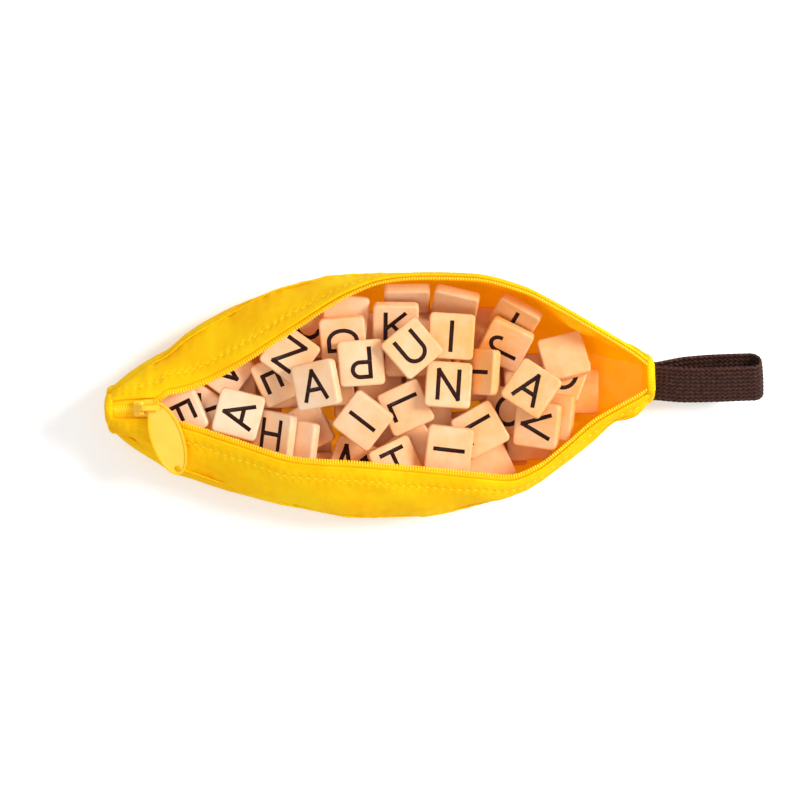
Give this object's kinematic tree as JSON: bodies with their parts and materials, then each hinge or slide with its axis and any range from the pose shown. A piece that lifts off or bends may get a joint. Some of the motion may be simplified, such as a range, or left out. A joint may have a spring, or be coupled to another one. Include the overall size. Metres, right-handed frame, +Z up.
{
  "type": "travel word tile game case",
  "caption": "Open boat-shaped canvas zip pouch heaped with square letter tiles, with a zip slider and oval pull tag at one tip and a webbing hang loop at the other.",
  "frame": {"origin": "middle of the flat patch that the pouch stands on", "axes": "+X along the pouch towards the hang loop, +Z up out of the open mouth, +Y towards the back wall"},
  "size_m": [0.2749, 0.1028, 0.0456],
  "materials": {
    "canvas": "matte woven",
    "lining_cloth": "smooth coated",
    "tape_cloth": "woven",
    "tooth_plastic": "satin",
    "slider_paint": "gloss",
    "pin_steel": "satin",
    "tag_rubber": "satin moulded",
    "webbing": "woven",
    "tile_plastic": "satin"
  },
  "bodies": {
    "pouch": {"left_end_cap": "canvas", "loop_tails": "webbing", "pouch_back_panel": "canvas", "pouch_base_panel": "canvas", "pouch_front_panel": "canvas", "pouch_lining": "lining_cloth", "right_end_cap": "canvas", "tile_a_left": "tile_plastic", "tile_c_back": "tile_plastic", "tile_c_right": "tile_plastic", "tile_d": "tile_plastic", "tile_e": "tile_plastic", "tile_f_left": "tile_plastic", "tile_h": "tile_plastic", "tile_i_back": "tile_plastic", "tile_i_front": "tile_plastic", "tile_i_steep": "tile_plastic", "tile_i_upper": "tile_plastic", "tile_j": "tile_plastic", "tile_k": "tile_plastic", "tile_l": "tile_plastic", "tile_l_right": "tile_plastic", "tile_m": "tile_plastic", "tile_n": "tile_plastic", "tile_o": "tile_plastic", "tile_p": "tile_plastic", "tile_t_front": "tile_plastic", "tile_v_left": "tile_plastic", "tile_v_right": "tile_plastic", "tile_x_left": "tile_plastic", "tile_z": "tile_plastic", "tiles_bed_1": "tile_plastic", "tiles_bed_2": "tile_plastic", "tiles_plain_upper": "tile_plastic", "zip_tape_back": "tape_cloth", "zip_tape_front": "tape_cloth", "zip_teeth_back": "tooth_plastic", "zip_teeth_front": "tooth_plastic"},
    "slider": {"slider_body": "slider_paint", "link_pin": "pin_steel"},
    "link": {"pull_link": "slider_paint"},
    "tag": {"pull_tag": "tag_rubber"},
    "loop": {"hang_loop": "webbing"},
    "tile_u": {"tile_u": "tile_plastic"},
    "tile_i_centre": {"tile_i_centre": "tile_plastic"},
    "tile_a_steep": {"tile_a_steep": "tile_plastic"},
    "tile_a_right": {"tile_a_right": "tile_plastic"}
  },
  "joints": [
    {"name": "zip_slide", "type": "slide", "parent": "pouch", "child": "slider", "axis": [1, 0, 0], "range_m": [0, 0.0025]},
    {"name": "link_hinge", "type": "hinge", "parent": "slider", "child": "link", "pos_m": [-0.0985, -0.002, 0.0356], "axis": [0, -1, 0], "range_deg": [0, 95]},
    {"name": "tag_swivel", "type": "hinge", "parent": "link", "child": "tag", "pos_m": [-0.0917, -0.002, 0.03613], "axis": [0, -0.309, 0.9511], "range_deg": [-16, 2]},
    {"name": "loop_flex", "type": "hinge", "parent": "pouch", "child": "loop", "pos_m": [0.1145, 0.0008, 0.022], "axis": [0, 0.7254, 0.6884], "range_deg": [-20, 20]},
    {"name": "lift_u", "type": "slide", "parent": "pouch", "child": "tile_u", "axis": [0, 0, 1], "range_m": [0, 0.07]},
    {"name": "lift_i_centre", "type": "slide", "parent": "pouch", "child": "tile_i_centre", "axis": [0, 0, 1], "range_m": [0, 0.07]},
    {"name": "lift_a_steep", "type": "slide", "parent": "pouch", "child": "tile_a_steep", "axis": [0, 0, 1], "range_m": [0, 0.07]},
    {"name": "lift_a_right", "type": "slide", "parent": "pouch", "child": "tile_a_right", "axis": [0, 0, 1], "range_m": [0, 0.07]}
  ]
}
